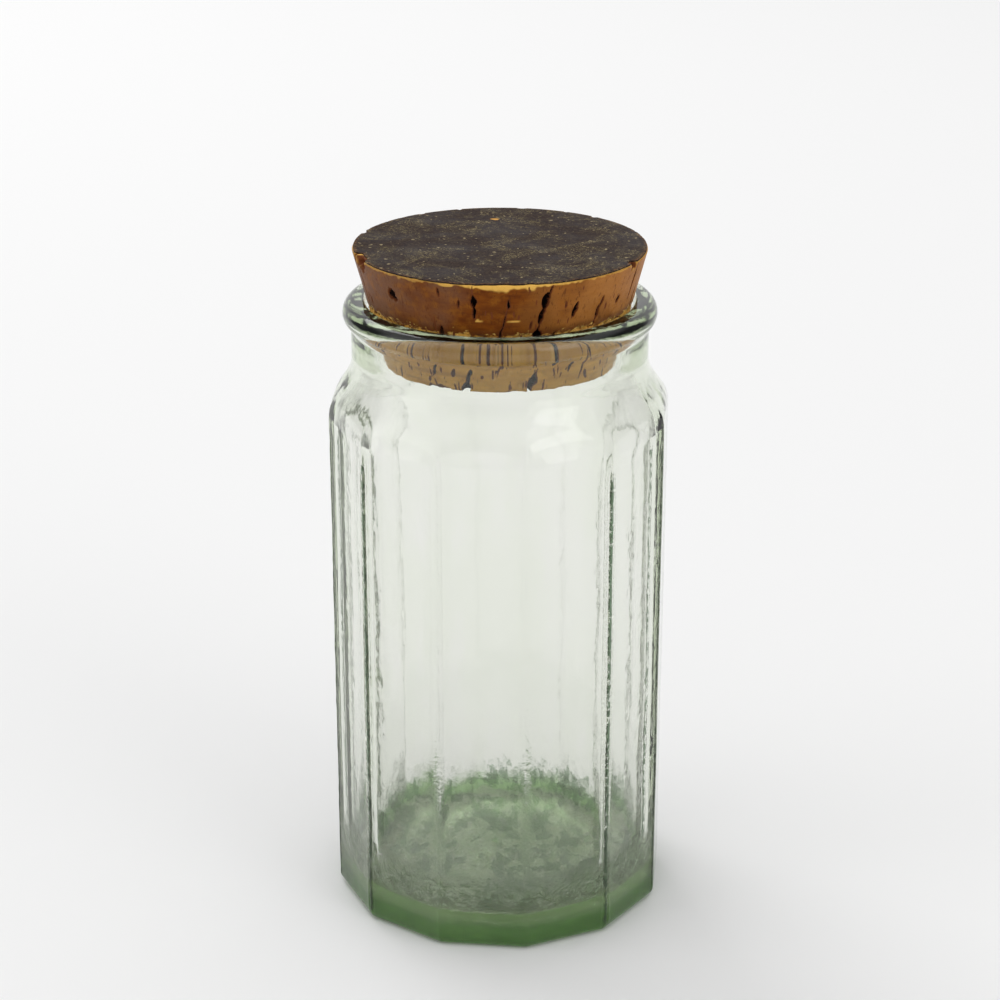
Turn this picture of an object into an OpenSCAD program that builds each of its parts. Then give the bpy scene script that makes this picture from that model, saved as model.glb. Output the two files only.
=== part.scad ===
// Glass storage jar with flat sides, closed by a tapered cork stopper.
// Z is up. The origin is the centre of the jar's underside, and the stopper is seated in the mouth.

/* [Glass jar] */
// Width across opposite flat sides
jar_across_flats = 115; // [112:1:140]
// Number of flat sides
jar_sides = 12; // [8:4:12]
// Height from the underside to the top of the lip
jar_h = 220; // [140:1:280]
// Thickness of the wall in the middle of a flat side
wall_t = 4.5; // [3:0.5:6]
// Thickness of the base
base_t = 10; // [5:1:20]
// Rounding of the lower outside edge
heel_r = 4; // [2:0.5:8]
// Rounding where the inside wall meets the floor
floor_r = 8; // [3:0.5:14]

/* [Shoulder, neck and lip] */
// Height of the shoulder, from the flat sides to the neck
shoulder_h = 24; // [16:1:40]
// Height of the neck and lip together
neck_h = 20; // [14:1:30]
// Thickness of the glass in the neck, at the mouth
neck_t = 5.2; // [3:0.1:6]
// How far the lip stands out from the neck
lip_proud = 2.8; // [1:0.1:4]
// Radius of the rounded bead that forms the lip
lip_bead_r = 4.4; // [3:0.1:6]
// Rounding of the inside edge of the mouth
mouth_edge_r = 1.5; // [0.5:0.1:2.5]
// How much the mouth's radius narrows from the lip down to the neck
mouth_taper = 2; // [0:0.1:3]

/* [Cork stopper] */
// Diameter of the stopper at its top
stopper_top_d = 100; // [94:1:106]
// Diameter of the stopper where it meets the lip
stopper_seat_d = 90.6; // [80:0.2:91]
// Diameter of the stopper at its lower end
stopper_bottom_d = 82.6; // [70:0.2:84]
// Whole height of the stopper, with its facing
stopper_h = 38.4; // [30:0.1:46]
// Length of the stopper below the top of the lip
seat_depth = 20; // [12:0.5:24]
// Gap between the stopper and the mouth at the lip
seat_gap = 0.3; // [0.2:0.05:1]
// Thickness of the dark facing on the stopper's top
facing_t = 0.6; // [0.4:0.1:2]
// Worn rim of bare cork left outside the facing
facing_inset = 0.5; // [0:0.1:3]

/* [Hidden] */

$fn = 96;
arc_steps = 6;
shoulder_steps = 12;
cut = 1; // how far a cutting shape passes the surface that it cuts
stopper_edge = 0.8; // chamfer of the stopper's lower edge

apothem = jar_across_flats / 2;
corner_r = apothem / cos(180 / jar_sides);
turned_r = corner_r + cut; // the turned outline clears the prism's corners
inner_r = apothem - wall_t;
neck_z = jar_h - neck_h;
shoulder_z = neck_z - shoulder_h;

mouth_r = stopper_seat_d / 2 + seat_gap;
neck_in_r = mouth_r - mouth_taper;
neck_r = mouth_r + neck_t;
lip_r = neck_r + lip_proud;
bead_x = lip_r - lip_bead_r;
bead_z = jar_h - lip_bead_r;
bead_start = -acos((neck_r - bead_x) / lip_bead_r);

stopper_z = jar_h - seat_depth;
stopper_top_z = stopper_z + stopper_h;
facing_z = stopper_top_z - facing_t;

// Points along an arc in the radius-height plane
function arc(x, z, r, from, to) =
    [for (i = [0 : arc_steps]) let (a = from + (to - from) * i / arc_steps)
        [x + r * cos(a), z + r * sin(a)]];

// Points along a smooth S from one radius and height to another, upright at both ends
function s_curve(r0, z0, r1, z1) =
    [for (i = [0 : shoulder_steps]) let (s = i / shoulder_steps)
        [r1 + (r0 - r1) * (1 + cos(180 * s)) / 2, z0 + (z1 - z0) * s]];

// Outside of the jar as it would be turned on a lathe: heel, shoulder, neck and lip
module turned_outside() {
    rotate_extrude()
        polygon(concat(
            [[0, 0]],
            arc(turned_r - heel_r, heel_r, heel_r, -90, 0),
            s_curve(turned_r, shoulder_z, neck_r, neck_z),
            arc(bead_x, bead_z, lip_bead_r, bead_start, 90),
            [[0, jar_h]]));
}

// Flat sides, one of them facing -Y
module flat_sides() {
    rotate([0, 0, 180 / jar_sides])
        cylinder(h = jar_h, r = corner_r, $fn = jar_sides);
}

// Hollow of the jar, which runs out through the tapered mouth
module hollow() {
    rotate_extrude()
        polygon(concat(
            [[0, base_t]],
            arc(inner_r - floor_r, base_t + floor_r, floor_r, -90, 0),
            s_curve(inner_r, shoulder_z, neck_in_r, neck_z),
            arc(mouth_r + mouth_edge_r, jar_h - mouth_edge_r, mouth_edge_r, 180, 90),
            [[mouth_r + mouth_edge_r, jar_h + cut], [0, jar_h + cut]]));
}

// One-piece moulded jar
module glass_jar() {
    color([0.76, 0.86, 0.77, 0.5])
        difference() {
            intersection() {
                flat_sides();
                turned_outside();
            }
            hollow();
        }
}

// Stopper cut from one piece of cork, steeper above the lip than inside the mouth
module cork_stopper() {
    color([0.76, 0.51, 0.22])
        rotate_extrude()
            polygon([
                [0, stopper_z],
                [stopper_bottom_d / 2 - stopper_edge, stopper_z],
                [stopper_bottom_d / 2, stopper_z + stopper_edge],
                [stopper_seat_d / 2, jar_h],
                [stopper_top_d / 2, facing_z],
                [0, facing_z]]);
}

// Thin dark facing on top of the cork
module top_facing() {
    color([0.20, 0.17, 0.18])
        translate([0, 0, facing_z])
            cylinder(h = facing_t, r = stopper_top_d / 2 - facing_inset);
}

glass_jar();
cork_stopper();
top_facing();
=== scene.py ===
import math

import bpy
import numpy as np
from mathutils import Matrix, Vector


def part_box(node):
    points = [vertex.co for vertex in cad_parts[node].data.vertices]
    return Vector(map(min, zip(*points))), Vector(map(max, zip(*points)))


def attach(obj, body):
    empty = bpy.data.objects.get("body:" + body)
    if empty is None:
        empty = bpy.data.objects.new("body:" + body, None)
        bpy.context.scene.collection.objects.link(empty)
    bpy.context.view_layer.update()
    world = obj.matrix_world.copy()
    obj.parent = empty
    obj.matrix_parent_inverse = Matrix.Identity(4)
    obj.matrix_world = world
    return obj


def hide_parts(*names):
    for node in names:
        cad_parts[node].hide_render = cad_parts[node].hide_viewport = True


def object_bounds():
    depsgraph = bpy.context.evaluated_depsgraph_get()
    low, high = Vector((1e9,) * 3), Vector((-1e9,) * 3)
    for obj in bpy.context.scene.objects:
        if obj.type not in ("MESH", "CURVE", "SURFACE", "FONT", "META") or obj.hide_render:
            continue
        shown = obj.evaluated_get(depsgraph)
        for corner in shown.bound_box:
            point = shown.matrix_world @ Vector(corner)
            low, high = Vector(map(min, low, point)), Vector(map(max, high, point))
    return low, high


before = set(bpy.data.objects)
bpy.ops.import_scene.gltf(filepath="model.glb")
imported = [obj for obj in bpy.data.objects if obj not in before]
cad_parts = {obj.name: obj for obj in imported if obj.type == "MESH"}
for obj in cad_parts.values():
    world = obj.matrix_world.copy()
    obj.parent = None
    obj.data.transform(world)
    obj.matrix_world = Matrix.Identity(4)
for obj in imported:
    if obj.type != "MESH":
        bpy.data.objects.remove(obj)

# A flat-sided glass storage jar, closed by a tapered cork stopper with a thin dark facing.
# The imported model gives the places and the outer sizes. Lengths are in metres, except in the stopper's
# shape, where a comment says that they are in millimetres.

MM = 0.001
CAD_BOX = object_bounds()
JAR_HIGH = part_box("glass_jar")[1]
CORK_LOW, CORK_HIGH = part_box("cork_stopper")
FACING_LOW, FACING_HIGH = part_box("top_facing")

# The jar, as it is in the CAD model
SIDES = 12
APOTHEM = JAR_HIGH.x
JAR_TOP = JAR_HIGH.z
HEEL_R = 4 * MM
BASE_T = 10 * MM
WALL_T = 4.5 * MM
FLOOR_R = 8 * MM
SHOULDER_Z = JAR_TOP - 44 * MM
NECK_Z = JAR_TOP - 20 * MM
MOUTH_R = 45.6 * MM
MOUTH_EDGE_R = 1.5 * MM
NECK_IN_R = MOUTH_R - 2 * MM
NECK_R = MOUTH_R + 5.2 * MM
LIP_R = NECK_R + 2.8 * MM
BEAD_R = 4.4 * MM

# What the jar's mesh adds to the CAD model
CORNER_R = 2.2 * MM  # rounding of the upright edges between the flat sides
PUSH_UP = 1.4 * MM  # hollow under the base
FLOOR_DOME = 1.2 * MM
FOLLOW_IN = 0.3  # how far the inside wall follows the flat sides, from 0 to 1
UNLIMITED = 1.0  # a radius, in metres, that limits nothing
GREEN_TO = 13.5 * MM  # the foot's deep green starts to fade at DEEP_GREEN_TO, and ends here
DEEP_GREEN_TO = 8 * MM
MOTTLED_TO = 12 * MM  # inside, the mottling starts to fade at this height, and ends at MOTTLING_ENDS
MOTTLING_ENDS = 30 * MM

# The stopper, as it is in the CAD model
CORK_TOP_R = CORK_HIGH.x
CORK_SEAT_R = 45.3 * MM
CORK_BOTTOM_R = 41.3 * MM
CORK_H = CORK_HIGH.z - CORK_LOW.z
SEAT_H = JAR_TOP - CORK_LOW.z  # height of the lip's mark above the stopper's lower end

# The side that the main camera sees and the stopper's cavities are counted from, from -Y towards +X
FRONT_DEGREES = 6.0


# ---------------------------------------------------------------- noise and meshes

class Noise:
    """Smooth seeded noise in space, from -1 to 1."""

    def __init__(self, seed):
        rng = np.random.default_rng(seed)
        self.order = rng.permutation(256)
        self.value = rng.uniform(-1, 1, 256)

    def __call__(self, points, size):
        """Noise at the points. Its features are about as large as size, a number or one per axis."""
        p = points / np.asarray(size)
        cell = np.floor(p).astype(int)
        part = p - cell
        part = part * part * (3 - 2 * part)
        total = np.zeros(p.shape[:-1])
        for corner in np.ndindex(2, 2, 2):
            x, y, z = np.moveaxis(cell + corner, -1, 0)
            pick = self.order[(self.order[(self.order[x & 255] + y) & 255] + z) & 255]
            total += self.value[pick] * np.prod(np.where(corner, part, 1 - part), axis=-1)
        return total


def smooth(low, high, x):
    """0 below low, 1 above high, and smooth between."""
    t = np.clip((x - low) / (high - low), 0, 1)
    return t * t * (3 - 2 * t)


def turned(radius, angle, height):
    """Points on a turned shape. The angle is from -Y towards +X, in radians."""
    x, y = radius * np.sin(angle), -radius * np.cos(angle)
    return np.stack(np.broadcast_arrays(x, y, height), axis=-1)


def closed_shell(name, rows, first, last, **attributes):
    """A closed mesh from rings of points, with a point to close each end. The first ring is at the bottom
    of the outside. Each attribute is a value for every point of the rings."""
    count, columns = rows.shape[:2]
    points = np.concatenate([rows.reshape(-1, 3), [first, last]])
    ring = np.arange(count * columns).reshape(count, columns)
    beside = np.roll(ring, -1, axis=1)
    quads = np.stack([ring[:-1], beside[:-1], beside[1:], ring[1:]], axis=-1).reshape(-1, 4)
    start = count * columns
    end = start + 1
    caps = [(start, b, a) for a, b in zip(ring[0].tolist(), beside[0].tolist())]
    caps += [(end, a, b) for a, b in zip(ring[-1].tolist(), beside[-1].tolist())]
    mesh = bpy.data.meshes.new(name)
    mesh.from_pydata(points.tolist(), [], quads.tolist() + caps)
    for key, values in attributes.items():
        layer = mesh.attributes.new(key, "FLOAT", "POINT")
        full = np.zeros(len(points), np.float32)
        full[:count * columns] = values.reshape(-1)
        layer.data.foreach_set("value", full)
    mesh.shade_smooth()
    mesh.update()
    piece = bpy.data.objects.new(name, mesh)
    bpy.context.scene.collection.objects.link(piece)
    return piece


def arc(x, z, r, start, end, steps):
    """Radius and height along an arc, with angles in degrees."""
    a = np.radians(np.linspace(start, end, steps))
    return x + r * np.cos(a), z + r * np.sin(a)


def s_curve(r0, z0, r1, z1, steps):
    """Radius and height along an S that is upright at both ends."""
    s = np.linspace(0, 1, steps)
    return r1 + (r0 - r1) * (1 + np.cos(np.pi * s)) / 2, z0 + (z1 - z0) * s


# ---------------------------------------------------------------- glass jar

def side_angles():
    """Angles round the jar, closer together near its upright edges."""
    half = math.pi / SIDES
    from_edge = MM * np.array([0, 0.25, 0.5, 0.75, 1, 1.25, 1.5, 1.8, 2.3, 3.2, 4.8, 7.2, 10.6])
    within = np.arctan2(APOTHEM * math.tan(half) - from_edge, APOTHEM)
    one_side = np.concatenate([-within, [0], within[:0:-1]])
    return np.concatenate([2 * half * side + one_side for side in range(SIDES)])


def edge_rise(angle):
    """How far the flat-sided outline stands out past the circle inside it, and the angle to the
    nearest upright edge."""
    half = math.pi / SIDES
    to_edge = np.abs((angle + 2 * half) % (2 * half) - half)
    centre = (APOTHEM - CORNER_R) / math.cos(half)
    on_round = to_edge < math.atan2(CORNER_R * math.sin(half), centre + CORNER_R * math.cos(half))
    reach = np.sqrt(np.maximum(CORNER_R ** 2 - (centre * np.sin(to_edge)) ** 2, 0))
    outline = np.where(on_round, centre * np.cos(to_edge) + reach, APOTHEM / np.cos(half - to_edge))
    return outline - APOTHEM, to_edge


def jar_rows():
    """The jar's outline from the middle of the underside, up the outside and down the inside to the floor.
    Each row is: the radius of the flat sides, how far it follows their outline, the round radius that
    limits it, the height, 1 on a wall or 0 on a floor, and 1 on the outside or 0 on the inside."""
    corner = APOTHEM / math.cos(math.pi / SIDES)
    inner_r = APOTHEM - WALL_T
    foot_r = APOTHEM - HEEL_R
    bead_x, bead_z = LIP_R - BEAD_R, JAR_TOP - BEAD_R
    bead_start = -math.degrees(math.acos((NECK_R - bead_x) / BEAD_R))
    rows = []

    def add(flat, follow, limit, height, wall, outside):
        rows.extend(np.broadcast(flat, follow, limit, height, wall, outside))

    s = np.linspace(0.06, 1, 12)
    add(foot_r * s, s, UNLIMITED, PUSH_UP * (1 - smooth(0.55, 0.88, s)), 0, 1)
    r, z = arc(foot_r, HEEL_R, HEEL_R, -78, 0, 7)
    add(r, 1, UNLIMITED, z, 1, 1)
    add(APOTHEM, 1, UNLIMITED, np.linspace(HEEL_R, SHOULDER_Z, 119)[1:], 1, 1)
    r, z = s_curve(corner + 2.5 * MM, SHOULDER_Z, NECK_R, NECK_Z, 23)
    add(APOTHEM, 1, r[1:], z[1:], 1, 1)
    bead_r, bead_h = arc(bead_x, bead_z, BEAD_R, bead_start, 90, 14)
    add(UNLIMITED, 0, NECK_R, np.linspace(NECK_Z, bead_h[0], 8)[1:-1], 1, 1)
    add(UNLIMITED, 0, bead_r, bead_h, 1, 1)
    r, z = arc(MOUTH_R + MOUTH_EDGE_R, JAR_TOP - MOUTH_EDGE_R, MOUTH_EDGE_R, 90, 180, 6)
    add(UNLIMITED, 0, r, z, 1, 0)
    down = np.linspace(0, 1, 10)[1:-1]
    add(UNLIMITED, 0, MOUTH_R + (NECK_IN_R - MOUTH_R) * down, z[-1] + (NECK_Z - z[-1]) * down, 1, 0)
    r, z = s_curve(inner_r, SHOULDER_Z, NECK_IN_R, NECK_Z, 18)
    follow = FOLLOW_IN * smooth(0, 1, np.linspace(1, 0, 18))
    add(r[::-1], follow[::-1], UNLIMITED, z[::-1], 1, 0)
    add(inner_r, FOLLOW_IN, UNLIMITED, np.linspace(SHOULDER_Z, BASE_T + FLOOR_R, 57)[1:], 1, 0)
    r, z = arc(inner_r - FLOOR_R, BASE_T + FLOOR_R, FLOOR_R, 0, -90, 9)
    add(r[1:], np.linspace(FOLLOW_IN, 0, 8), UNLIMITED, z[1:], np.linspace(1, 0, 8), 0)
    s = np.linspace(1, 0.04, 22)[1:]
    add((inner_r - FLOOR_R) * s, 0, UNLIMITED, BASE_T + FLOOR_DOME * (1 - s * s), 0, 0)
    return np.array(rows, float).T[:, :, None]


def blend_low(a, b, width):
    """The lower of a and b, rounded where they meet."""
    h = np.clip(0.5 + 0.5 * (b - a) / width, 0, 1)
    return b + (a - b) * h - width * h * (1 - h)


def make_jar():
    """One moulded shell: flat sides, rounded upright edges, wavy walls, thick base, shoulder and lip."""
    angle = side_angles()
    rise, to_edge = edge_rise(angle)
    flat, follow, limit, height, wall, outside = jar_rows()
    radius = blend_low(flat + follow * rise, limit, 2.5 * MM)
    at = turned(radius, angle, height)
    wave, grain = Noise(11), Noise(12)
    inside = 1 - outside

    # The upright edges run from the heel to the shoulder, and are sharpest on both sides of the front,
    # where the glass also gets the darkest painted edge shade.
    upright = (limit == UNLIMITED) * outside * wall * smooth(0.3 * HEEL_R, 1.2 * HEEL_R, height)
    upright = upright * smooth(SHOULDER_Z, SHOULDER_Z - 5 * MM, height)
    off_edge = to_edge * APOTHEM / MM
    sharp = smooth(0.35, 0.65, np.abs(np.sin(angle))) * smooth(-0.35, 0.2, np.cos(angle))
    ridge = np.exp(-(off_edge / 1.5) ** 2) * upright * (0.5 + 0.5 * sharp)

    # Waves in the walls, and a groove on both sides of each edge
    push = 0.10 * MM * (wave(at, 22 * MM) - 1) * outside
    push += 0.05 * MM * (wave(at, [7 * MM, 7 * MM, 30 * MM]) - 1) * outside
    push += 0.22 * MM * wave(at, [24 * MM, 24 * MM, 50 * MM]) * inside
    push += 0.04 * MM * grain(at, [7 * MM, 7 * MM, 18 * MM]) * inside
    groove = np.exp(-((off_edge - 0.95) / 0.40) ** 2) * upright * (0.30 + 0.70 * sharp)
    crest = np.exp(-(off_edge / 0.5) ** 2) * upright
    push -= MM * groove * (0.42 + 0.14 * grain(at, [2.5 * MM, 2.5 * MM, 4 * MM]))
    push -= MM * crest * (0.12 + 0.12 * grain(at, [3 * MM, 3 * MM, 2.9 * MM]))
    push *= 1 - 0.8 * smooth(NECK_Z - 6 * MM, NECK_Z, height)

    # An uneven floor and underside
    lift = MM * (0.7 * wave(at, 13 * MM) + 0.5 * grain(at, 5 * MM) + 0.16 * grain(at, 2.2 * MM)) * inside
    under = (height < HEEL_R) * outside * smooth(PUSH_UP * 0.2, PUSH_UP, height)
    lift += 0.15 * MM * grain(at, 5 * MM) * under
    at = turned(radius + wall * push, angle, height + (1 - wall) ** 3 * lift)

    # How mottled the glass is, in bumps and in painted shade: most on the floor inside, fading up the wall,
    # and a little underneath
    under_floor = 0.25 * (1 - wall) * smooth(0.9, 0.6, follow) * outside
    over_floor = smooth(MOTTLING_ENDS, MOTTLED_TO, height) * inside
    foot = smooth(GREEN_TO, DEEP_GREEN_TO, height) * wall * outside
    every = np.zeros_like(radius)
    return closed_shell("jar_glass", at, (0, 0, PUSH_UP), (0, 0, BASE_T + FLOOR_DOME),
                        ridge=ridge + every, stipple=under_floor + over_floor + every, foot=foot + every)


jar = make_jar()


# ---------------------------------------------------------------- stopper

# The cavities that stand out, as (angle from the front in degrees, lowest and highest point above the
# stopper's lower end in mm, greatest width in mm, sideways lean towards the top in mm, depth in mm)
CAVITIES = [
    (-10.4, 33.0, 38.5, 0.7, 0.0, 1.6), (-10.2, 29.6, 34.6, 2.2, 0.2, 2.6),
    (-10.0, 25.6, 30.4, 1.6, 0.2, 2.4), (3.4, 29.4, 33.4, 1.3, 0.1, 2.0), (1.6, 19.0, 31.0, 0.7, 2.6, 1.6),
    (0.2, 18.4, 22.6, 1.4, 0.6, 1.4), (17.8, 29.0, 35.0, 3.2, 0.4, 3.0), (19.4, 33.6, 37.6, 0.9, 0.8, 1.8),
    (16.6, 23.4, 29.8, 2.3, 1.2, 3.0), (15.6, 18.2, 24.0, 1.2, 0.8, 2.6), (15.2, 18.6, 21.6, 3.2, 0.0, 2.8),
    (14.4, 9.0, 19.4, 0.6, 0.8, 1.4), (31.0, 24.6, 30.4, 1.9, 1.6, 2.4), (26.6, 28.4, 31.4, 1.0, 0.0, 1.0),
    (43.0, 22.4, 27.6, 1.7, 0.4, 2.4), (44.6, 26.6, 30.6, 1.2, 1.0, 2.0), (42.2, 19.6, 23.6, 0.8, 0.6, 1.4),
    (55.0, 25.8, 28.4, 2.0, 0.8, 1.8), (-47.6, 28.4, 32.6, 3.3, 0.6, 1.8),
    (-45.8, 27.8, 30.0, 2.0, -0.6, 1.4), (-24.0, 32.4, 36.6, 1.0, -0.6, 1.4),
    (-16.2, 29.2, 32.6, 1.1, 0.1, 1.3), (-5.6, 27.0, 29.4, 0.6, 0.0, 0.9), (7.4, 25.4, 28.0, 0.6, 0.2, 0.9),
    (12.4, 21.8, 25.4, 1.0, 0.6, 1.1), (-72.0, 20.0, 37.0, 0.9, -1.6, 1.8),
    (-66.0, 22.0, 27.0, 0.9, -0.6, 1.2), (66.0, 24.0, 37.8, 1.0, 1.6, 1.8),
    (72.0, 20.0, 29.0, 1.1, 1.2, 1.8), (-25.0, 16.4, 22.8, 1.7, 0.2, 1.3),
    (-14.8, 11.6, 18.4, 1.3, 2.0, 2.2), (-38.0, 11.6, 16.0, 1.3, 0.0, 1.2),
    (-30.0, 13.0, 16.8, 0.8, 0.1, 1.1), (-28.6, 4.0, 10.0, 1.2, 1.6, 1.8), (-13.4, 1.6, 8.6, 1.6, 2.0, 2.6),
    (-15.0, -1.0, 3.4, 3.0, 1.0, 3.0), (8.6, 14.4, 20.4, 1.4, 1.0, 2.0), (22.4, 16.6, 21.0, 1.4, 2.2, 2.0),
    (23.4, 9.8, 15.4, 1.6, 1.4, 2.4), (13.8, -1.0, 7.0, 2.6, 2.0, 3.0), (31.0, 5.4, 11.4, 1.3, 1.2, 1.8),
    (38.0, 2.0, 15.6, 0.9, 2.4, 1.8), (57.0, 7.0, 15.4, 1.2, 1.2, 1.8), (-58.0, 9.0, 15.4, 1.2, -0.8, 1.6),
    (-20.0, 4.6, 8.0, 1.9, 0.8, 0.9), (-3.0, 4.0, 9.4, 0.6, 0.1, 1.0), (1.0, 8.6, 15.0, 0.8, 0.2, 1.2),
    (100.0, 3.0, 20.0, 1.4, 2.2, 2.4), (128.0, 18.0, 33.0, 1.8, -1.6, 2.8),
    (152.0, 24.0, 37.8, 1.4, 1.0, 2.2), (171.0, 2.0, 14.0, 1.8, 1.4, 2.6),
    (196.0, 20.6, 29.0, 2.4, -0.6, 2.8), (221.0, 8.0, 24.0, 1.3, 1.6, 2.2),
    (246.0, 27.0, 36.0, 1.6, 0.8, 2.2), (262.0, -1.0, 9.0, 2.2, 1.0, 2.8),
]


def spindle(across, up, low, high, width, lean, ragged):
    """How far inside an upright slit with pointed ends each point is, in mm. It is below 0 outside."""
    t = np.clip((up - low) / (high - low), 0, 1)
    half = 0.5 * width * (4 * t * (1 - t)) ** 0.8 * (1 + 0.35 * ragged)
    return half - np.abs(across - lean * (t - 0.5) - 0.22 * min(width, 1.5) * ragged) - 0.06


def scattered_slits(count, low, high, height, width, seed):
    """Small slits at random places between two heights, as rows like those of CAVITIES."""
    rng = np.random.default_rng(seed)
    slits = []
    for _ in range(count):
        tall = height * rng.lognormal(0, 0.45)
        wide = width * rng.lognormal(0, 0.4)
        middle = rng.uniform(low, high)
        slits.append((rng.uniform(0, 360), middle - tall / 2, middle + tall / 2,
                      wide, rng.normal(0, 0.12) * tall, rng.uniform(0.35, 1.1)))
    return slits


def side_distance(angle, degrees, radius):
    """Distance round the stopper from an upright line at an angle from the front, in mm."""
    turn = (angle - math.radians(degrees + FRONT_DEGREES) + math.pi) % (2 * math.pi) - math.pi
    return turn * radius / MM


def patch(across, up, centre_up, wide, tall, ragged):
    """1 in the middle of an uneven oval patch, and 0 at its edge. Lengths are in mm."""
    return 1 - np.hypot(across / wide, (up - centre_up) / tall) + 0.45 * ragged


RUBBED_DEGREES = 4  # middle of the rim's most rubbed stretch, from the front
LEFT_CHIP_DEGREES = -71  # the largest chip in the rim, from the front
RIM_NOTCHES = [  # (angle from the front in degrees, half width in mm, depth in mm)
    (63, 2.6, 2.2), (-34, 1.2, 0.5), (138, 1.4, 1.0), (152, 0.9, 0.8),
    (171, 2.2, 0.6), (197, 1.0, 1.1), (214, 1.6, 0.7), (251, 2.4, 1.2),
]


def rim_wear(angle, ragged):
    """How far the bare, worn rim reaches in from the stopper's top edge, in mm."""
    front = side_distance(angle, RUBBED_DEGREES, CORK_TOP_R)
    left_chip = side_distance(angle, LEFT_CHIP_DEGREES, CORK_TOP_R)
    wear = 0.28 + 0.26 * ragged + 0.85 * smooth(14, 6, np.abs(front + 2 * ragged)) * (1 + 0.5 * ragged)
    wear += 0.30 * smooth(34, 10, np.abs(front)) + 2.4 * smooth(7.5, 3, np.abs(left_chip + 1.5 * ragged))
    for degrees, wide, deep in RIM_NOTCHES:
        wear += deep * smooth(wide, wide * 0.4, np.abs(side_distance(angle, degrees, CORK_TOP_R)))
    return np.maximum(wear, 0.1)


# Broken-out patches, as (angle from the front in degrees, height in mm, half width in mm, half height
# in mm, depth in mm, how dark it is painted inside from 0 to 1, partly painted shade). TOP_EDGE is the
# height of the top edge.
TOP_EDGE = CORK_H / MM
CHIPS = [
    (LEFT_CHIP_DEGREES, TOP_EDGE, 7.0, 3.2, 2.6, 0.55), (-68, TOP_EDGE - 2.6, 1.8, 1.6, 2.2, 1.0),
    (63, TOP_EDGE, 2.2, 2.2, 2.0, 0.9), (139, TOP_EDGE, 2.4, 1.6, 1.4, 0.5),
    (250, TOP_EDGE, 5.0, 2.4, 1.6, 0.4),
    (-27, 0, 5.0, 1.6, 1.3, 0.45), (3, 0, 4.0, 0.9, 0.9, 0.3), (115, 0, 7.0, 2.0, 1.6, 0.4),
    (205, 0, 5.0, 1.8, 1.5, 0.4),
]

GROWTH_RINGS = (4.6, 9.2, 14.4)  # heights of three shallow grooves in the lower band, in mm

# Thin level scratches that show pale cork, as (angle from the front in degrees, height in mm, half width
# in mm)
PALE_SCRATCHES = [(-8.2, 25.4, 2.4), (5.6, 25.0, 2.8), (-96, 30.5, 3.0), (160, 28.0, 4.0)]


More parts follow.
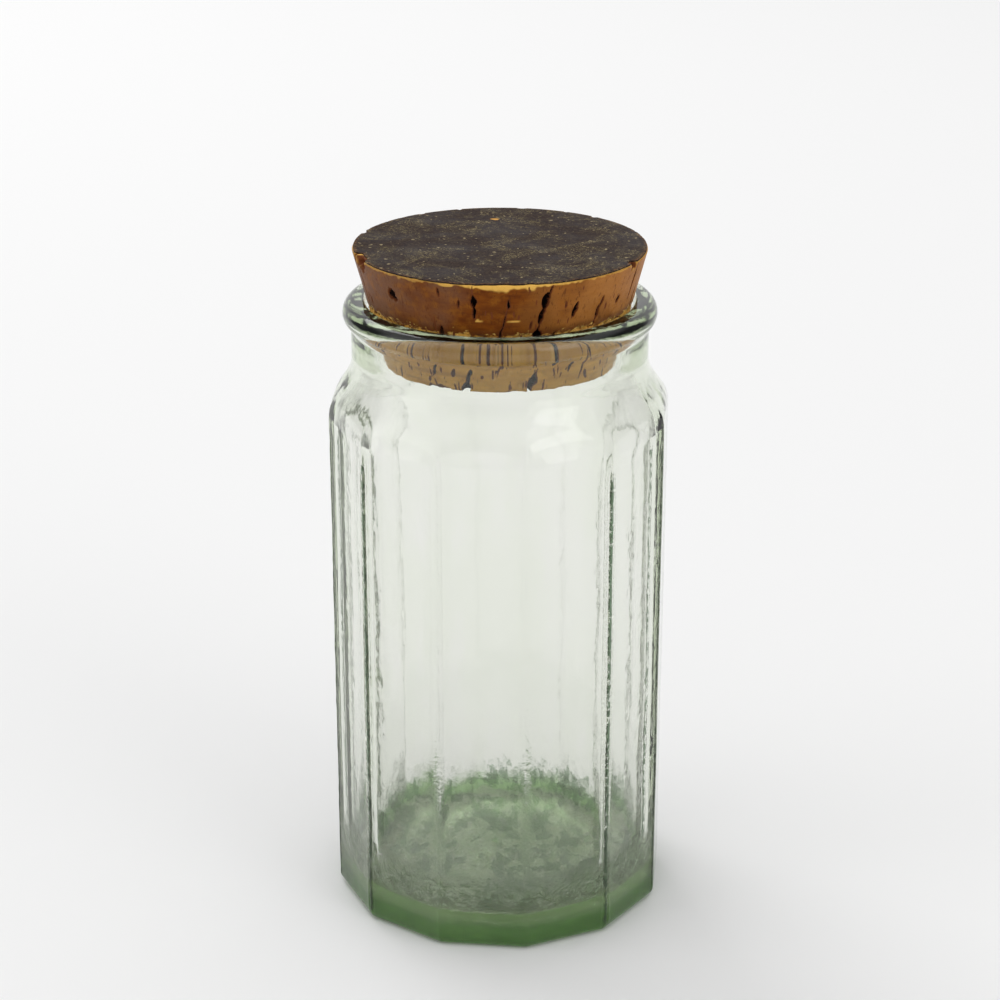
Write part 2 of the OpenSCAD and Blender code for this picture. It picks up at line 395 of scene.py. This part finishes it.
def make_cork():
    """One piece of cork: an upper and a lower band, carved cavities, a worn rim and a ragged lower edge.
    Heights and depths here are in millimetres."""
    columns = 900
    angle = np.linspace(0, 2 * np.pi, columns, endpoint=False)
    top = TOP_EDGE
    seat = SEAT_H / MM

    # Rows up the side, closer together at the edges and at the lip's mark
    levels = np.concatenate([
        np.linspace(0, 1.2, 6), np.linspace(1.2, seat - 1.4, 36)[1:],
        np.linspace(seat - 1.4, seat + 1, 8)[1:], np.linspace(seat + 1, top - 1.6, 30)[1:],
        np.linspace(top - 1.6, top, 10)[1:]])
    up = levels[:, None] + 0 * angle
    radius = np.interp(levels, [0, seat, top], [CORK_BOTTOM_R, CORK_SEAT_R, CORK_TOP_R])[:, None] / MM
    at = turned(radius * MM, angle, up * MM)
    coarse, fine, flakes = Noise(21), Noise(22), Noise(23)
    ragged = fine(at, [1.2 * MM, 1.2 * MM, 1.7 * MM])
    lip_mark = seat + 0.55 * coarse(at, [5 * MM, 5 * MM, 1]) + 0.30 * fine(at, [1.5 * MM, 1.5 * MM, 1])
    band = up - lip_mark
    lower = smooth(0.25, -0.25, band)

    # How deep the side is carved: waves, the rougher lower band, the lip's mark and three growth rings
    carve = 0.10 * (1 - coarse(at, 9 * MM)) + 0.05 * (1 - fine(at, 2 * MM)) * (0.35 + lower)
    carve += lower * (0.12 + 0.20 * smooth(-5, 0, band)) * (1 + 0.5 * flakes(at, 2.2 * MM))
    torn = smooth(-0.3, 0.5, flakes(at, [3.5 * MM, 3.5 * MM, 1 * MM]))
    carve += 0.28 * np.exp(-((band + 0.7) / 0.5) ** 2) * torn
    for level in GROWTH_RINGS:
        carve += 0.07 * np.exp(-((up - level - 0.8 * coarse(at, [24 * MM, 24 * MM, 1])) / 0.22) ** 2)

    # The rounded top and lower edges
    wear = rim_wear(angle, coarse(at[-1], 2.5 * MM))
    bevel = 0.35 + 0.45 * wear
    carve += np.maximum(0, bevel - (top - up)) ** 2 / (2 * bevel) * 1.1
    foot = 0.6 + 0.5 * coarse(at[0], 3 * MM) + 0.9 * smooth(0.35, 0.8, flakes(at[0], 5 * MM))
    carve += np.maximum(0, foot - up) ** 2 / (2 * np.maximum(foot, 0.1)) * 1.2

    # Cavities and chips, and how dark each is painted inside: partly the cork's dark colour and partly
    # painted shade, deeper ones darker
    hollow = np.zeros_like(up)
    in_lower = scattered_slits(260, 1, 19.5, 3.0, 0.56, 31)
    in_upper = scattered_slits(60, 21.5, 37, 2.4, 0.5, 32)
    for degrees, low, high, width, lean, depth in CAVITIES + in_lower + in_upper:
        inside = spindle(side_distance(angle, degrees, radius * MM), up, low, high, width, lean, ragged)
        carve = np.maximum(carve, depth * smooth(0, 0.5, inside))
        hollow = np.maximum(hollow, smooth(-0.12, 0.22, inside) * min(1, 0.30 + depth / 2.6))
    for degrees, level, wide, tall, depth, dark in CHIPS:
        inside = patch(side_distance(angle, degrees, radius * MM), up, level, wide, tall, ragged)
        carve = np.maximum(carve, depth * smooth(0, 0.5, inside) * (1 + 0.25 * ragged))
        hollow = np.maximum(hollow, dark * smooth(0, 0.4, inside) * (0.75 + 0.25 * ragged))

    # Where bare, pale cork shows: level scratches and the rubbed rim
    bare = np.zeros_like(up)
    for degrees, level, wide in PALE_SCRATCHES:
        inside = patch(side_distance(angle, degrees, radius * MM), up, level, wide, 0.30, 0.8 * ragged)
        carve += 0.12 * smooth(0, 0.4, inside)
        bare = np.maximum(bare, smooth(0, 0.35, inside))
    rubbed = top - up + 0.45 * ragged + 0.30 * flakes(at, [2.4 * MM, 2.4 * MM, 0.8 * MM])
    off_front = np.abs(side_distance(angle, RUBBED_DEGREES, CORK_TOP_R))
    rim_share = 0.40 + 0.60 * smooth(30, 10, off_front + 6 * ragged)
    bare = np.maximum(bare, smooth(wear + 0.25, 0.6 * wear, rubbed) * (1 - 0.6 * hollow) * rim_share)

    # The side, with the nearly flat underside and top that close it
    side_r = np.maximum(radius - carve, 1)
    under_share = np.linspace(0.06, 1, 14)[:-1, None]
    over_share = 1 - np.array([0.004, 0.012, 0.024, 0.04, 0.07, 0.12, 0.3, 0.6, 0.92])[:, None]
    under_dent = 0.25 * (1 - fine(turned(side_r[0] * under_share * MM, angle, 0), 2.5 * MM))
    below = np.zeros_like(under_dent)
    above = np.zeros_like(side_r[-1] * over_share)
    all_r = np.concatenate([side_r[0] * under_share, side_r, side_r[-1] * over_share])
    all_up = np.concatenate([under_dent * (1 - under_share ** 8), up, above + top])
    hollow_above = hollow[-1] * np.maximum(0, 1 - (1 - over_share) * 40)
    return closed_shell("stopper_cork", turned(all_r * MM, angle, CORK_LOW.z + all_up * MM),
                        (0, 0, CORK_LOW.z + 0.2 * MM), (0, 0, CORK_HIGH.z),
                        hollow=np.concatenate([below, hollow, hollow_above]),
                        bare=np.concatenate([below, bare, above + 1]),
                        band=np.concatenate([below - seat, band, above + (top - seat)]))


# Places on the facing, from the stopper's axis: the small chip, and both ends of the long scuff
FACING_CHIP = (-5.5 * MM, 33 * MM)
SCUFF_START = np.array([2.6, -18.0]) * MM
SCUFF_END = np.array([38.0, 13.0]) * MM


def make_facing():
    """The thin dark facing: a worn, notched outline and a slightly uneven face, with one small chip and
    one long scuff."""
    columns = 480
    angle = np.linspace(0, 2 * np.pi, columns, endpoint=False)
    coarse, fine = Noise(21), Noise(24)
    rim = turned(CORK_TOP_R, angle, CORK_H)
    wear = rim_wear(angle, coarse(rim, 2.5 * MM)) + 0.12 * (1 + fine(rim, 0.9 * MM))
    edge_r = np.minimum(CORK_TOP_R - wear * MM, FACING_HIGH.x)
    thick = FACING_HIGH.z - FACING_LOW.z

    # Rings from the middle of the underside, up the thin edge and back to the middle of the face
    under = np.array([0.06, 0.3, 0.6, 0.85, 0.97, 0.995])[:, None]
    lip_share = np.array([1, 1, 0.999])[:, None]
    lip_up = np.array([0.15, 0.5, 0.8])[:, None]
    over = 1 - np.concatenate([[0.003, 0.008, 0.016], np.linspace(0.028, 0.95, 60)])[:, None]
    share = np.concatenate([under, lip_share, over])
    up = np.concatenate([0 * under, lip_up, 1 + 0 * over])
    rows = turned(share * edge_r, angle, FACING_LOW.z + up * thick)

    # How far the face sinks below its highest point, as a share of the thickness
    over_face = smooth(0.85, 1, up) + 0 * angle
    sag = 0.10 * (1 - coarse(rows, 16 * MM)) + 0.06 * (1 - fine(rows, 3 * MM))
    sag += 0.12 * smooth(0.985, 1, share)

    # The chip, a small oval
    x, y = rows[..., 0], rows[..., 1]
    away = np.hypot((x - FACING_CHIP[0]) / 1.6, y - FACING_CHIP[1]) / MM
    chipped = smooth(1.25, 0.75, away - 0.5 * fine(rows, 1.2 * MM)) * over_face
    sag = np.maximum(sag, 0.5 * chipped)
    rows[..., 2] -= sag * over_face * thick

    # The long scuff, a faint straight band across the face
    along = (SCUFF_END - SCUFF_START) / np.hypot(*(SCUFF_END - SCUFF_START))
    reach = (rows[..., :2] - SCUFF_START) @ along
    off = (x - SCUFF_START[0]) * along[1] - (y - SCUFF_START[1]) * along[0] + MM * coarse(rows, 6 * MM)
    scuff = np.exp(-(off / (1.5 * MM)) ** 2)
    scuff = scuff * smooth(-2 * MM, 4 * MM, reach) * smooth(50 * MM, 40 * MM, reach)
    return closed_shell("stopper_facing", rows, (0, 0, FACING_LOW.z), (0, 0, FACING_HIGH.z - 0.2 * thick),
                        chip=chipped, edge=smooth(0.97, 0.998, share) * over_face, scuff=scuff * over_face)


cork = make_cork()
facing = make_facing()


# ---------------------------------------------------------------- materials

class Paint:
    """A material's node tree, with a short call for each kind of node used below."""

    def __init__(self, name):
        self.material = bpy.data.materials.new(name)
        self.material.use_nodes = True
        self.tree = self.material.node_tree
        self.shader = self.tree.nodes["Principled BSDF"]
        self.output = self.tree.nodes["Material Output"]
        self.object_place = self.node("ShaderNodeTexCoord").outputs["Object"]

    def node(self, kind, **settings):
        made = self.tree.nodes.new(kind)
        for key, value in settings.items():
            setattr(made, key, value)
        return made

    def put(self, socket, value):
        """Links a socket, or sets a plain value."""
        if isinstance(value, bpy.types.NodeSocket):
            self.tree.links.new(value, socket)
        elif isinstance(value, tuple) and len(value) == 3 and socket.type == "RGBA":
            socket.default_value = (*value, 1)
        else:
            socket.default_value = value

    def stretched(self, x, y, z):
        """Object coordinates scaled along each axis."""
        made = self.node("ShaderNodeMapping")
        self.put(made.inputs["Vector"], self.object_place)
        made.inputs["Scale"].default_value = (x, y, z)
        return made.outputs["Vector"]

    def noise(self, scale, detail=3, rough=0.55, distort=0, place=None):
        made = self.node("ShaderNodeTexNoise")
        self.put(made.inputs["Vector"], place or self.object_place)
        for key, value in (("Scale", scale), ("Detail", detail), ("Roughness", rough),
                           ("Distortion", distort)):
            made.inputs[key].default_value = value
        return made.outputs["Fac"]

    def streaked(self, x, y, z, detail, rough, distort=0):
        """Noise with its own scale along each axis."""
        return self.noise(1, detail, rough, distort, place=self.stretched(x, y, z))

    def math(self, operation, a, b=0.0):
        made = self.node("ShaderNodeMath", operation=operation)
        self.put(made.inputs[0], a)
        self.put(made.inputs[1], b)
        return made.outputs[0]

    def step(self, value, low, high, to_low=0.0, to_high=1.0):
        """to_low where value is below low, to_high above high, and smooth between."""
        made = self.node("ShaderNodeMapRange", interpolation_type="SMOOTHSTEP")
        for key, given in (("Value", value), ("From Min", low), ("From Max", high),
                           ("To Min", to_low), ("To Max", to_high)):
            self.put(made.inputs[key], given)
        return made.outputs["Result"]

    def bell(self, value, centre, width):
        """1 where value is at centre, falling to 0 a width away on both sides."""
        away = self.math("ABSOLUTE", self.math("SUBTRACT", value, centre))
        return self.step(away, 0, width, 1, 0)

    def mix(self, share, a, b):
        """Colour a where share is 0, and colour b where it is 1."""
        made = self.node("ShaderNodeMix", data_type="RGBA")
        self.put(made.inputs["Factor"], share)
        self.put(made.inputs[6], a)
        self.put(made.inputs[7], b)
        return made.outputs[2]

    def layer(self, name):
        """A value kept in the mesh by closed_shell."""
        return self.node("ShaderNodeAttribute", attribute_name=name).outputs["Fac"]

    def along(self, axis):
        """The object coordinate along X, Y or Z, in metres."""
        split = self.node("ShaderNodeSeparateXYZ")
        self.put(split.inputs[0], self.object_place)
        return split.outputs[axis]

    def add(self, a, b):
        return self.math("ADD", a, b)

    def times(self, a, b):
        return self.math("MULTIPLY", a, b)

    def larger(self, a, b):
        return self.math("MAXIMUM", a, b)

    def bump(self, height, distance, strength=1.0, under=None):
        made = self.node("ShaderNodeBump")
        self.put(made.inputs["Height"], height)
        made.inputs["Distance"].default_value = distance
        made.inputs["Strength"].default_value = strength
        if under is not None:
            self.put(made.inputs["Normal"], under)
        return made.outputs["Normal"]

    def set(self, **sockets):
        for key, value in sockets.items():
            self.put(self.shader.inputs[key.replace("_", " ")], value)


# Each channel of light is absorbed in proportion to the density times what its colour lacks of 1.
GLASS_COLOUR = (0.52, 0.63, 0.36)
GLASS_DENSITY = 27.0


def glass_material():
    """Pale green glass, darker where it is thick, with ripples, rough upright edges and light wear, and
    with painted shade: dark edge lines and dark patches on the floor.
    """
    p = Paint("green_glass")
    ridge = p.layer("ridge")
    stipple = p.layer("stipple")

    # Ripples and streaks, calmer in the neck and lip, then pits, grainy edges and the mottled floor
    ripple = p.times(p.noise(95, 2, 0.5), p.step(p.along("Z"), NECK_Z - 8 * MM, NECK_Z, 1, 0.3))
    streaks = p.streaked(150, 150, 22, 3, 0.5)
    streaks = p.times(streaks, p.step(p.along("Z"), NECK_Z - 8 * MM, NECK_Z, 1, 0.2))
    pitted = p.noise(750, 3, 0.6)
    edge_grain = p.times(p.noise(700, 2, 0.7), ridge)
    mottle = p.times(p.noise(240, 4, 0.7, 0.8), stipple)
    normal = p.bump(ripple, 0.35 * MM, 0.5)
    normal = p.bump(streaks, 0.20 * MM, 0.5, normal)
    normal = p.bump(pitted, 0.03 * MM, 0.5, normal)
    normal = p.bump(edge_grain, 0.7 * MM, 1.0, normal)
    normal = p.bump(mottle, 3.5 * MM, 1.0, normal)

    # Scuffs low down, a faint haze, and slightly rough edges
    worn = p.step(p.along("Z"), 6 * MM, 0, 0, 0.10)
    haze = p.step(p.noise(26, 4, 0.6, 0.6), 0.45, 0.75, 0.0, 0.035)
    rough = p.add(p.add(worn, haze), p.times(ridge, 0.08))

    # Faint clouds of tone, the deep green foot, painted dark shade patches on the floor, and broken edge
    # lines painted dark as shade
    tone = p.step(p.streaked(30, 30, 12, 4, 0.7), 0.43, 0.55)
    colour = p.mix(tone, (1.0, 0.99, 1.0), (0.985, 0.985, 0.975))
    colour = p.mix(p.layer("foot"), colour, (0.165, 0.39, 0.09))
    # Painted shade: dark green patches on the floor and low wall, standing in for the dark that the uneven
    # floor refracts
    painted_floor_shade = p.add(p.noise(75, 4, 0.7, 1.0), p.times(p.noise(480, 4, 0.8), 0.5))
    painted_floor_shade = p.add(painted_floor_shade, p.times(stipple, 0.30))
    colour = p.mix(p.step(painted_floor_shade, 1.02, 1.09, 0, 0.97), colour, (0.13, 0.21, 0.12))
    # Painted shade: dark broken lines along the upright edges, standing in for the dark that the edges
    # refract
    painted_edge_shade = p.add(ridge, p.step(p.noise(520, 3, 0.7), 0.3, 0.7, -0.30, 0.16))
    colour = p.mix(p.step(painted_edge_shade, 0.66, 0.84, 0, 1.0), colour, (0.030, 0.065, 0.028))
    p.set(Base_Color=colour, Transmission_Weight=1.0, IOR=1.5, Roughness=rough, Normal=normal)

    # The glass takes away more of the light the thicker it is.
    inside = p.node("ShaderNodeVolumeAbsorption")
    inside.inputs["Color"].default_value = (*GLASS_COLOUR, 1)
    inside.inputs["Density"].default_value = GLASS_DENSITY
    p.tree.links.new(inside.outputs["Volume"], p.output.inputs["Volume"])
    return p.material


def cork_material():
    """Cork: a smooth brown band with a painted sheen on its left over a pale golden one, a stained lip
    mark, cavities darkened with painted shade, a bare rim.
    """
    p = Paint("natural_cork")
    hollow = p.layer("hollow")
    bare = p.layer("bare")
    band = p.layer("band")
    around = p.streaked(110, 110, 620, 4, 0.65)
    cloudy = p.noise(34, 3, 0.55)
    speck = p.noise(1500, 3, 0.65)
    frayed = p.streaked(420, 420, 800, 4, 0.7, 0.4)
    torn = p.add(band, p.step(frayed, 0.28, 0.72, -1.5, 1.5))

    # The upper band: a painted purplish-grey sheen on the left, caramel in the middle and tan on the right
    caramel = p.mix(p.step(around, 0.3, 0.7), (0.118, 0.027, 0.0020), (0.210, 0.056, 0.0035))
    painted_sheen_grey = p.mix(speck, (0.135, 0.055, 0.024), (0.22, 0.105, 0.054))
    tan = p.mix(around, (0.33, 0.125, 0.026), (0.46, 0.190, 0.042))
    sheen_edge = p.add(p.along("X"), p.step(cloudy, 0.3, 0.7, -16 * MM, 16 * MM))
    right_edge = p.add(p.along("X"), p.step(cloudy, 0.3, 0.7, -12 * MM, 12 * MM))
    upper = p.mix(p.step(sheen_edge, -34 * MM, -4 * MM, 0.85, 0), caramel, painted_sheen_grey)
    upper = p.mix(p.step(right_edge, 12 * MM, 40 * MM), upper, tan)
    upper = p.mix(p.step(p.noise(240, 4, 0.65), 0.45, 0.70, 0, 0.5), upper, (0.31, 0.108, 0.009))
    upper = p.mix(p.step(cloudy, 0.48, 0.72, 0, 0.6), upper, (0.135, 0.042, 0.006))
    pores = p.step(p.streaked(1900, 1900, 800, 3, 0.7), 0.58, 0.72)
    upper = p.mix(p.times(pores, 0.65), upper, (0.085, 0.026, 0.006))
    scratches = p.step(p.streaked(1200, 1200, 200, 3, 0.6), 0.57, 0.68, 0, 0.55)
    upper = p.mix(scratches, upper, (0.075, 0.020, 0.004))
    upper = p.mix(p.times(p.bell(band, 0.7, 2.4), 0.7), upper, (0.105, 0.030, 0.005))

    # The lower band: golden, with brown clouds, pale crumbs, level growth lines and short dark dashes
    golden = p.mix(p.step(around, 0.25, 0.75), (0.62, 0.31, 0.055), (0.84, 0.47, 0.095))
    lower = p.mix(p.step(cloudy, 0.42, 0.75, 0, 0.55), golden, (0.52, 0.235, 0.040))
    lower = p.mix(p.step(p.noise(260, 4, 0.7), 0.50, 0.72, 0, 0.55), lower, (0.40, 0.17, 0.028))
    lower = p.mix(p.step(p.noise(330, 4, 0.7), 0.55, 0.72, 0, 0.6), lower, (0.92, 0.60, 0.19))
    lines = p.step(p.streaked(30, 30, 420, 2, 0.5), 0.60, 0.70, 0, 0.5)
    lower = p.mix(lines, lower, (0.42, 0.20, 0.045))
    dashes = p.step(p.streaked(1500, 1500, 330, 2, 0.5), 0.66, 0.74, 0, 0.75)
    lower = p.mix(dashes, lower, (0.30, 0.11, 0.025))

    # The torn boundary between them, with its stain, flecks and cracks
    colour = p.mix(p.step(torn, -0.06, 0.06), lower, upper)
    torn_edge = p.times(p.bell(torn, -0.22, 0.32), p.step(p.noise(260, 3, 0.6), 0.42, 0.56))
    stain = p.times(p.bell(torn, -0.9, 1.5), p.step(p.noise(190, 4, 0.65), 0.40, 0.62))
    colour = p.mix(p.times(stain, 0.85), colour, (0.24, 0.085, 0.012))
    cracks = p.step(p.streaked(170, 170, 900, 3, 0.6, 0.8), 0.60, 0.66)
    cracks = p.times(cracks, p.bell(band, -0.6, 2.2))
    fleck = p.times(p.bell(torn, -0.1, 0.9), p.step(p.noise(420, 3, 0.6), 0.50, 0.60))
    colour = p.mix(fleck, colour, (0.90, 0.58, 0.16))

    # The bare rim, the cracks, and the cavities, which are red-brown at the edge and dark inside, the dark
    # partly the cork's own colour and partly painted shade
    colour = p.mix(p.times(bare, p.step(speck, 0.25, 0.5, 0.75, 1)), colour, (0.80, 0.46, 0.095))
    colour = p.mix(p.larger(cracks, torn_edge), colour, (0.11, 0.034, 0.008))
    colour = p.mix(p.step(hollow, 0.02, 0.25), colour, (0.150, 0.042, 0.012))
    # Painted shade: near-black deep in the cavities and chips
    depth = p.add(hollow, p.step(speck, 0.3, 0.7, -0.12, 0.12))
    colour = p.mix(p.step(depth, 0.50, 0.92), colour, (0.010, 0.004, 0.003))

    # Waves and grain, and a polish that the upper band has and the lower one doesn't
    fine = p.noise(2600, 3, 0.6)
    normal = p.bump(around, 0.12 * MM, 0.35)
    normal = p.bump(p.larger(cracks, torn_edge), -0.3 * MM, 0.9, normal)
    normal = p.bump(speck, 0.12 * MM, 0.6, normal)
    normal = p.bump(fine, 0.05 * MM, 0.4, normal)
    worn_rough = p.step(band, -0.4, 0.4, 0.72, 0.47)
    rough = p.add(worn_rough, p.step(speck, 0.3, 0.7, -0.06, 0.10))
    rough = p.larger(rough, p.times(hollow, 0.9))
    p.set(Base_Color=colour, Roughness=rough, Normal=normal, IOR=1.45, Specular_IOR_Level=0.09)
    return p.material


def facing_material():
    """A dull charcoal layer with a purple cast, flecked with olive and straw-coloured crumbs."""
    p = Paint("dark_facing")
    cloudy = p.noise(60, 4, 0.6, 0.4)
    grain = p.noise(900, 5, 0.75)

    # Clouded charcoal with grain, and paler worn patches
    colour = p.mix(p.step(cloudy, 0.35, 0.68), (0.017, 0.0080, 0.0100), (0.031, 0.0170, 0.016))
    colour = p.mix(p.step(grain, 0.46, 0.60, 0, 0.9), colour, (0.066, 0.046, 0.031))
    colour = p.mix(p.step(p.noise(1300, 3, 0.7), 0.52, 0.40, 0, 0.7), colour, (0.010, 0.007, 0.008))
    patches = p.larger(p.step(p.noise(70, 5, 0.7, 1.2), 0.46, 0.60), p.layer("scuff"))
    colour = p.mix(p.times(patches, p.step(grain, 0.42, 0.60, 0, 0.5)), colour, (0.070, 0.054, 0.034))

    # Crumbs and dust, mostly in the patches, then the frayed edge and the chip down to the cork
    crumbs = p.step(p.noise(1100, 3, 0.7), 0.54, 0.62)
    dust = p.step(p.noise(2300, 2, 0.6), 0.54, 0.63)
    few = p.step(p.noise(520, 1, 0.5), 0.70, 0.74)
    flecks = p.larger(crumbs, p.times(dust, 0.7))
    flecks = p.times(flecks, p.add(p.times(patches, 0.90), 0.08))
    olive = p.mix(p.noise(300, 2), (0.13, 0.102, 0.046), (0.32, 0.25, 0.125))
    colour = p.mix(flecks, colour, olive)
    colour = p.mix(few, colour, (0.34, 0.27, 0.15))
    frayed = p.times(p.layer("edge"), p.step(p.noise(900, 3, 0.6), 0.40, 0.62))
    colour = p.mix(p.times(frayed, 0.7), colour, (0.20, 0.095, 0.035))
    colour = p.mix(p.layer("chip"), colour, (0.66, 0.34, 0.075))

    normal = p.bump(p.noise(140, 3, 0.6), 0.30 * MM, 0.35)
    normal = p.bump(grain, 0.12 * MM, 0.6, normal)
    normal = p.bump(flecks, 0.10 * MM, 0.5, normal)
    rough = p.step(p.add(cloudy, p.times(grain, 0.3)), 0.45, 0.85, 0.60, 0.90)
    p.set(Base_Color=colour, Roughness=rough, Normal=normal, IOR=1.45, Specular_IOR_Level=0.13)
    return p.material


for piece, body, node, slot, material in (
        (jar, "jar", "glass_jar", "glass", glass_material()),
        (cork, "stopper", "cork_stopper", "cork", cork_material()),
        (facing, "stopper", "top_facing", "facing", facing_material())):
    piece.data.materials.append(material)
    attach(piece, body)
    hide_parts(node)


# ---------------------------------------------------------------- floor, light and camera

def disc(name, radius, height, sides=128):
    """A flat round floor."""
    mesh = bpy.data.meshes.new(name)
    angle = np.linspace(0, 2 * np.pi, sides, endpoint=False)
    ring = np.stack([radius * np.cos(angle), radius * np.sin(angle), height + 0 * angle], axis=-1)
    mesh.from_pydata(ring.tolist(), [], [list(range(sides))])
    made = bpy.data.objects.new(name, mesh)
    bpy.context.scene.collection.objects.link(made)
    return made


def floor_material():
    """A pale, dull surface with a faint grain."""
    p = Paint("pale_cloth")
    weave = p.streaked(900, 900, 900, 2, 0.5)
    p.set(Base_Color=(0.86, 0.86, 0.86), Roughness=0.9, Normal=p.bump(weave, 0.1 * MM, 0.15),
          Specular_IOR_Level=0.0)
    return p.material


floor = disc("floor", 6.0, -0.1 * MM)
floor.data.materials.append(floor_material())

scene = bpy.context.scene
CENTRE = Vector((0, 0, (CAD_BOX[0].z + CAD_BOX[1].z) / 2))  # the lamps face this point


def soft_lamp(name, place, size, power):
    """A square lamp that faces the object and that the camera doesn't see."""
    lamp = bpy.data.lights.new(name, "AREA")
    lamp.shape = "SQUARE"
    lamp.size = size
    lamp.energy = power
    made = bpy.data.objects.new(name, lamp)
    made.location = place
    made.rotation_euler = (CENTRE - Vector(place)).to_track_quat("-Z", "Y").to_euler()
    made.visible_camera = False
    scene.collection.objects.link(made)


soft_lamp("key", (-1.6, 1.8, 2.7), 1.9, 29)
soft_lamp("fill", (1.6, -1.3, 1.3), 1.2, 6)


# Compass directions from +Y towards +X, in degrees, and how bright it is there near the horizon
HORIZON = [(-180, 0.35), (-140, 0.35), (-122, 1.6), (-98, 1.6), (-82, 0.20), (-60, 0.20), (-42, 1.0),
           (34, 1.0), (52, 0.18), (86, 0.18), (104, 0.9), (132, 0.9), (150, 0.35), (180, 0.35)]
WORLD_STRENGTH = 0.95
SEEN_TONE = (0.81, 0.81, 0.81, 1)  # what the camera sees past the floor, close to the far floor's tone


def studio_world():
    """Pale light from all round and above, with dim gaps low down that draw the glass's edges."""
    world = bpy.data.worlds.new("studio")
    world.use_nodes = True
    scene.world = world
    tree = world.node_tree
    nodes, links = tree.nodes, tree.links
    background = nodes["Background"]
    place = nodes.new("ShaderNodeTexCoord")
    split = nodes.new("ShaderNodeSeparateXYZ")
    links.new(place.outputs["Generated"], split.inputs[0])
    turn = nodes.new("ShaderNodeMath")
    turn.operation = "ARCTAN2"
    links.new(split.outputs["X"], turn.inputs[0])
    links.new(split.outputs["Y"], turn.inputs[1])
    ramp = nodes.new("ShaderNodeValToRGB")
    ramp.color_ramp.interpolation = "EASE"
    to_share = nodes.new("ShaderNodeMapRange")
    to_share.inputs["From Min"].default_value = -math.pi
    to_share.inputs["From Max"].default_value = math.pi
    links.new(turn.outputs[0], to_share.inputs["Value"])
    links.new(to_share.outputs[0], ramp.inputs["Fac"])
    elements = ramp.color_ramp.elements
    while len(elements) > 1:
        elements.remove(elements[-1])
    for i, (degrees, level) in enumerate(HORIZON):
        share = (degrees + 180) / 360
        element = elements[0] if i == 0 else elements.new(share)
        element.position = share
        element.color = (level, level, level, 1)

    # Even light from above, and an even tone for the camera
    up = nodes.new("ShaderNodeMapRange")
    up.interpolation_type = "SMOOTHSTEP"
    up.inputs["From Min"].default_value = 0.35
    up.inputs["From Max"].default_value = 0.75
    links.new(split.outputs["Z"], up.inputs["Value"])
    sky = nodes.new("ShaderNodeMix")
    sky.data_type = "RGBA"
    links.new(up.outputs[0], sky.inputs["Factor"])
    links.new(ramp.outputs["Color"], sky.inputs[6])
    sky.inputs[7].default_value = (1, 1, 1, 1)
    seen = nodes.new("ShaderNodeLightPath")
    shown = nodes.new("ShaderNodeMix")
    shown.data_type = "RGBA"
    links.new(seen.outputs["Is Camera Ray"], shown.inputs["Factor"])
    links.new(sky.outputs[2], shown.inputs[6])
    shown.inputs[7].default_value = SEEN_TONE
    links.new(shown.outputs[2], background.inputs["Color"])
    background.inputs["Strength"].default_value = WORLD_STRENGTH


studio_world()


# The camera looks down at the front, and leaves room above for the lifted stopper.
VIEW_ELEVATION = 21.0
LENS_MM = 90.0
SENSOR_MM = 36.0
DISTANCE = 0.875
AIM = Vector((0, 0, 0.146))

camera_data = bpy.data.cameras.new("camera")
camera_data.lens = LENS_MM
camera_data.sensor_width = SENSOR_MM
camera_data.clip_start = 0.01
camera_data.clip_end = 50
camera = bpy.data.objects.new("camera", camera_data)
turn = math.radians(FRONT_DEGREES)
rise = math.radians(VIEW_ELEVATION)
back = Vector((math.sin(turn) * math.cos(rise), -math.cos(turn) * math.cos(rise), math.sin(rise)))
camera.location = AIM + back * DISTANCE
camera.rotation_euler = (-back).to_track_quat("-Z", "Y").to_euler()
scene.collection.objects.link(camera)
scene.camera = camera

scene.view_settings.view_transform = "Standard"
scene.cycles.max_bounces = 24
scene.cycles.transmission_bounces = 20
scene.cycles.glossy_bounces = 8
